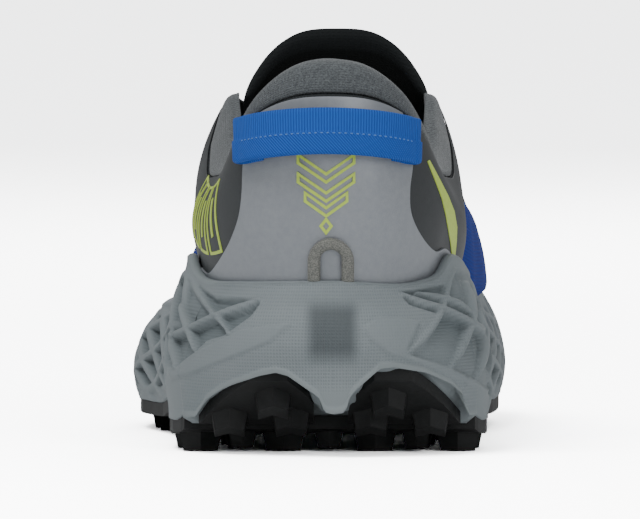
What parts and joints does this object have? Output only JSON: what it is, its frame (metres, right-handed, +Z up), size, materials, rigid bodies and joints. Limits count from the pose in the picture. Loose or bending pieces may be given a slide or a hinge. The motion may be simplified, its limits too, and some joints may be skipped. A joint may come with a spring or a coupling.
{
  "type": "trail running shoe",
  "caption": "Left trail running shoe with a hollow textile upper, padded collar and tongue, flared ribbed foam midsole, bevelled heel and lugged rubber outsole, standing empty.",
  "frame": {"origin": "middle of the outline's length and width, on the floor under the lugs", "axes": "+Y towards the toe, +X to the medial side, +Z up"},
  "size_m": [0.1126, 0.3025, 0.1252],
  "materials": {
    "midsole_foam": "matte moulded foam",
    "outsole_rubber": "matte moulded rubber",
    "upper_textile": "matte woven textile",
    "counter_film": "satin metallic film",
    "collar_textile": "heather knit",
    "tongue_textile": "matte knit",
    "pull_tab_webbing": "woven webbing",
    "loop_webbing": "reflective webbing",
    "toe_cap_film": "satin film",
    "lace_cord": "flat woven lace",
    "insole_textile": "brushed textile over foam"
  },
  "bodies": {
    "root": {"midsole": "midsole_foam", "outsole_main": "outsole_rubber", "outsole_rear_lateral": "outsole_rubber", "outsole_rear_medial": "outsole_rubber", "upper": "upper_textile", "heel_counter": "counter_film", "toe_cap": "toe_cap_film", "eyestay": "toe_cap_film", "collar": "collar_textile", "tongue": "tongue_textile", "insole": "insole_textile", "pull_tab": "pull_tab_webbing", "heel_loop": "loop_webbing", "laces": "lace_cord"}
  },
  "joints": []
}
